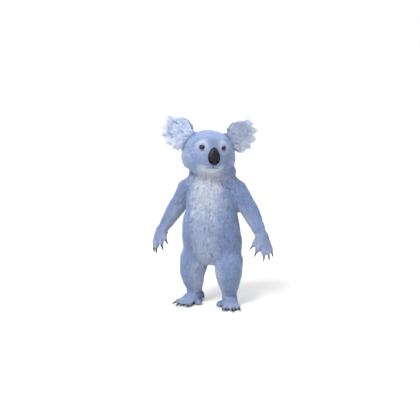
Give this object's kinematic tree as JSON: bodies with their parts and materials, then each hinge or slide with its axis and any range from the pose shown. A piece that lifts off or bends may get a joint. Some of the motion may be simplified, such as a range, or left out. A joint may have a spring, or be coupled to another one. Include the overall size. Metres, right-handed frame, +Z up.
{
  "type": "koala",
  "caption": "Life-size koala standing upright on its hind legs, arms held out and down, head turned to its left, as a still model.",
  "frame": {"origin": "on the floor, in the middle of the model's footprint box", "axes": "+Z up, the trunk faces -Y, and +X is the animal's left side"},
  "size_m": [0.483, 0.2362, 0.7183],
  "materials": {
    "coat": "dense soft fur, silver-grey with a blue cast",
    "pale_coat": "short pale grey fur",
    "nose_leather": "bare, finely pebbled, slightly moist",
    "eyeball": "wet and glossy, brown iris",
    "horn": "dark, smooth, semi-gloss claw"
  },
  "bodies": {
    "root": {"head": "coat", "left_ear": "coat", "left_eye": "eyeball", "left_fifth_claw": "horn", "left_foot": "pale_coat", "left_forearm": "coat", "left_fourth_claw": "horn", "left_hand": "coat", "left_hand_claw_1": "horn", "left_hand_claw_2": "horn", "left_hand_claw_3": "horn", "left_hand_claw_4": "horn", "left_hand_claw_5": "horn", "left_inner_grooming_claw": "horn", "left_outer_grooming_claw": "horn", "left_shank": "coat", "left_thigh": "coat", "left_upper_arm": "coat", "neck": "coat", "nose": "nose_leather", "right_ear": "coat", "right_eye": "eyeball", "right_fifth_claw": "horn", "right_foot": "pale_coat", "right_forearm": "coat", "right_fourth_claw": "horn", "right_hand": "coat", "right_hand_claw_1": "horn", "right_hand_claw_2": "horn", "right_hand_claw_3": "horn", "right_hand_claw_4": "horn", "right_hand_claw_5": "horn", "right_inner_grooming_claw": "horn", "right_outer_grooming_claw": "horn", "right_shank": "coat", "right_thigh": "coat", "right_upper_arm": "coat", "trunk": "coat"}
  },
  "joints": []
}
